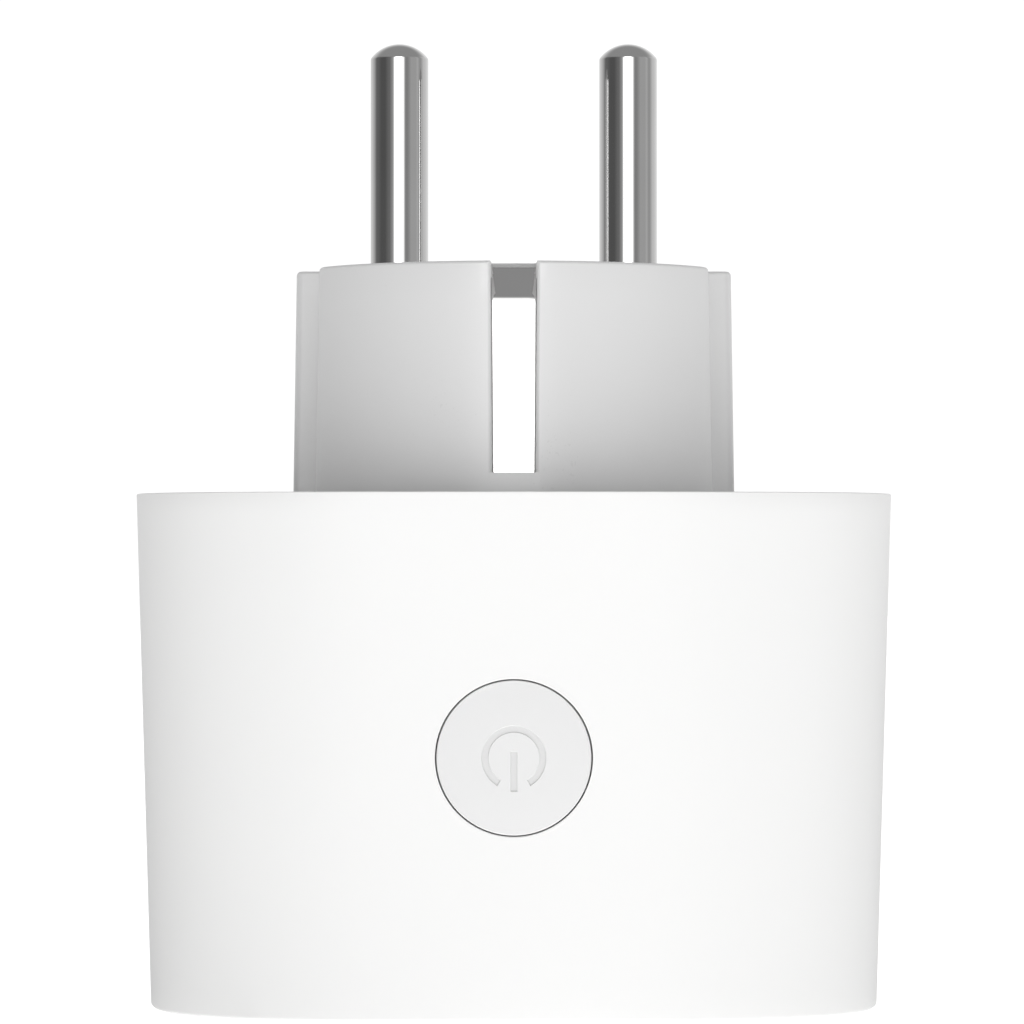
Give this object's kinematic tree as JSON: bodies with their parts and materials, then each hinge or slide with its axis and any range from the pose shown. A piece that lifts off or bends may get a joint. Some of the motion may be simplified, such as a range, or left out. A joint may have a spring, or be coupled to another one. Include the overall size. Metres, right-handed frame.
{
  "type": "smart plug",
  "caption": "Earthed plug-in adapter with a switched outlet, round pins on a collar, and a round power button on the front.",
  "frame": {"origin": "middle of the outlet face, which the plug stands on, at the centre of the bounding box's base", "axes": "+X along the line of the two pins, -Y out of the button side, +Z from the outlet face to the pin tips"},
  "size_m": [0.062, 0.0492, 0.0792],
  "materials": {
    "white_shell": "fine satin moulding",
    "white_button": "smooth satin moulding",
    "light_pipe": "milky, translucent",
    "led_lens": "clear lens over a yellow phosphor",
    "inner_plastic": "flame-retardant moulding",
    "nickel": "polished nickel plate",
    "spring_steel": "drawn wire",
    "copper_alloy": "stamped spring bronze",
    "copper_wire": "bare copper",
    "zinc_screw": "zinc plate",
    "board_green": "solder mask over glass laminate",
    "relay_case": "moulded case",
    "ferrite": "ground ferrite",
    "winding_tape": "polyester tape",
    "capacitor_sleeve": "shrink sleeve",
    "film_box": "moulded box",
    "varistor_blue": "dipped coating",
    "resistor_body": "lacquered body",
    "black_epoxy": "moulded epoxy",
    "shield_can": "tinned sheet"
  },
  "bodies": {
    "housing": {"body_shell": "white_shell", "plug_cover": "white_shell", "socket_cup": "white_shell", "pin_carrier": "inner_plastic", "pin_retainer": "inner_plastic", "contact_carrier": "inner_plastic", "button_guide": "inner_plastic", "live_pin": "nickel", "neutral_pin": "nickel", "plug_earth_strip_front": "nickel", "plug_earth_strip_rear": "nickel", "earth_ring": "copper_alloy", "earth_strap": "copper_alloy", "live_contact": "copper_alloy", "neutral_contact": "copper_alloy", "shutter_spring": "spring_steel", "antenna": "copper_wire", "cover_screw_1": "zinc_screw", "cover_screw_2": "zinc_screw", "carrier_screw_1": "zinc_screw", "carrier_screw_2": "zinc_screw", "main_board": "board_green", "control_board": "board_green", "radio_module": "board_green", "radio_shield": "shield_can", "relay": "relay_case", "transformer_core": "ferrite", "transformer_coil": "winding_tape", "bulk_capacitor": "capacitor_sleeve", "filter_capacitor": "capacitor_sleeve", "film_capacitor": "film_box", "varistor": "varistor_blue", "fuse_resistor": "resistor_body", "bridge_rectifier": "black_epoxy", "tact_switch": "black_epoxy", "status_led": "led_lens"},
    "button": {"power_button": "white_button", "light_guide": "light_pipe", "switch_plunger": "black_epoxy"},
    "shutter": {"safety_shutter": "inner_plastic"},
    "clip_front": {"socket_earth_clip_front": "copper_alloy"},
    "clip_rear": {"socket_earth_clip_rear": "copper_alloy"}
  },
  "joints": [
    {"name": "button_press", "type": "slide", "parent": "housing", "child": "button", "axis": [0, 1, 0], "range_m": [0, 0.0005], "stiffness_N_per_m": 3000, "springref_m": -0.0002},
    {"name": "shutter_turn", "type": "hinge", "parent": "housing", "child": "shutter", "pos_m": [0, 0, 0.0209], "axis": [0, 0, 1], "range_deg": [0, 42], "stiffness_Nm_per_rad": 0.002, "springref_deg": -17.19},
    {"name": "clip_front_flex", "type": "hinge", "parent": "housing", "child": "clip_front", "pos_m": [0, -0.0202, 0.0135], "axis": [-1, 0, 0], "range_deg": [0, 6], "stiffness_Nm_per_rad": 0.3},
    {"name": "clip_rear_flex", "type": "hinge", "parent": "housing", "child": "clip_rear", "pos_m": [0, 0.0202, 0.0135], "axis": [1, 0, 0], "range_deg": [0, 6], "stiffness_Nm_per_rad": 0.3}
  ]
}
